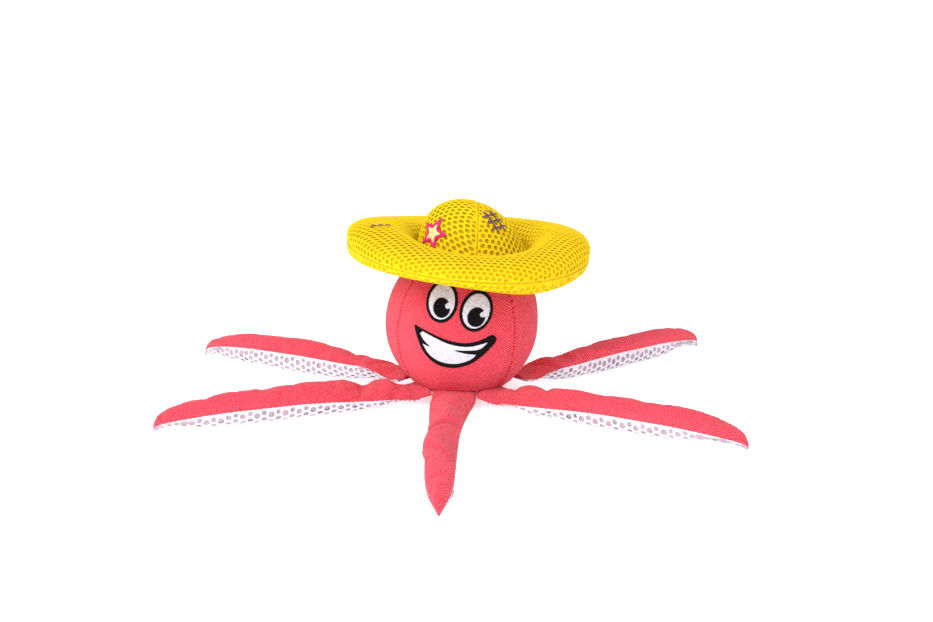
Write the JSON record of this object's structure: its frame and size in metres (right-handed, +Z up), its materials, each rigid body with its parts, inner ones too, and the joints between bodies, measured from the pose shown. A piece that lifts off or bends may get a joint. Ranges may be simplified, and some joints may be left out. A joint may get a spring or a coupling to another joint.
{
  "type": "stuffed octopus toy",
  "caption": "Stuffed canvas octopus with an embroidered face, arms with mesh undersides, a squeaker inside and a padded mesh sun hat that rocks on its head.",
  "frame": {"origin": "centre of the flat base disc, on the surface the toy stands on", "axes": "+Z up through the head, -Y the way the face looks, +X to the right seen from the front"},
  "size_m": [0.3064, 0.3437, 0.11],
  "materials": {
    "coral_canvas": "plain woven polyester canvas, matt",
    "white_mesh": "white air mesh with diamond holes",
    "yellow_mesh": "bright yellow air mesh with round holes",
    "stuffing": "polyester fibre stuffing",
    "white_thread": "off-white satin-stitch embroidery thread",
    "black_thread": "black satin-stitch embroidery thread",
    "pink_thread": "hot pink embroidery thread",
    "cream_thread": "cream embroidery thread",
    "purple_thread": "dark purple embroidery thread",
    "squeaker_plastic": "soft translucent plastic",
    "reed_plastic": "hard plastic"
  },
  "bodies": {
    "head": {"head_panel_front": "coral_canvas", "head_panel_right": "coral_canvas", "head_panel_back": "coral_canvas", "head_panel_left": "coral_canvas", "head_base_disc": "coral_canvas", "head_stuffing_upper": "stuffing", "head_stuffing_lower": "stuffing", "squeaker_bulb": "squeaker_plastic", "squeaker_reed": "reed_plastic", "left_eye_outline": "black_thread", "left_eye_white": "white_thread", "left_eye_pupil": "black_thread", "right_eye_outline": "black_thread", "right_eye_white": "white_thread", "right_eye_pupil": "black_thread", "mouth_outline": "black_thread", "mouth_teeth": "white_thread"},
    "hat": {"hat_brim_upper_mesh": "yellow_mesh", "hat_brim_lower_mesh": "yellow_mesh", "hat_brim_stuffing": "stuffing", "hat_crown_left_panel": "yellow_mesh", "hat_crown_right_panel": "yellow_mesh", "hat_crown_stuffing": "stuffing", "hat_crown_lining": "yellow_mesh", "flower_outline": "pink_thread", "flower_centre": "cream_thread", "lattice_stitches": "purple_thread", "brim_stitch_1": "purple_thread", "brim_stitch_2": "purple_thread", "brim_stitch_3": "purple_thread"},
    "front_arm": {"front_arm_top": "coral_canvas", "front_arm_mesh_underside": "white_mesh", "front_arm_filling": "stuffing"},
    "front_right_arm": {"front_right_arm_top": "coral_canvas", "front_right_arm_mesh_underside": "white_mesh", "front_right_arm_filling": "stuffing"},
    "back_right_arm": {"back_right_arm_top": "coral_canvas", "back_right_arm_mesh_underside": "white_mesh", "back_right_arm_filling": "stuffing"},
    "back_arm": {"back_arm_top": "coral_canvas", "back_arm_mesh_underside": "white_mesh", "back_arm_filling": "stuffing"},
    "back_left_arm": {"back_left_arm_top": "coral_canvas", "back_left_arm_mesh_underside": "white_mesh", "back_left_arm_filling": "stuffing"},
    "front_left_arm": {"front_left_arm_top": "coral_canvas", "front_left_arm_mesh_underside": "white_mesh", "front_left_arm_filling": "stuffing"}
  },
  "joints": [
    {"name": "front_arm_swing", "type": "hinge", "parent": "head", "child": "front_arm", "pos_m": [-0.00208, -0.03394, 0.0045], "axis": [-0.9983, 0.0576, 0], "range_deg": [-75, 40]},
    {"name": "front_right_arm_swing", "type": "hinge", "parent": "head", "child": "front_right_arm", "pos_m": [0.01998, -0.02751, 0.0045], "axis": [-0.471, -0.8821, 0], "range_deg": [-75, 40]},
    {"name": "back_right_arm_swing", "type": "hinge", "parent": "head", "child": "back_right_arm", "pos_m": [0.03367, 0.00473, 0.0045], "axis": [0.5592, -0.829, 0], "range_deg": [-75, 40]},
    {"name": "back_arm_swing", "type": "hinge", "parent": "head", "child": "back_arm", "pos_m": [-0.00059, 0.03399, 0.0045], "axis": [0.9998, 0.0175, 0], "range_deg": [-75, 40]},
    {"name": "back_left_arm_swing", "type": "hinge", "parent": "head", "child": "back_left_arm", "pos_m": [-0.03367, 0.00473, 0.0045], "axis": [0.4289, 0.9033, 0], "range_deg": [-75, 40]},
    {"name": "front_left_arm_swing", "type": "hinge", "parent": "head", "child": "front_left_arm", "pos_m": [-0.02679, -0.02093, 0.0045], "axis": [-0.3272, 0.9449, 0], "range_deg": [-75, 40]},
    {"name": "hat_rock", "type": "hinge", "parent": "head", "child": "hat", "pos_m": [0, 0, 0.0461], "axis": [0, 1, 0], "range_deg": [-8, 8], "stiffness_Nm_per_rad": 0.05}
  ]
}
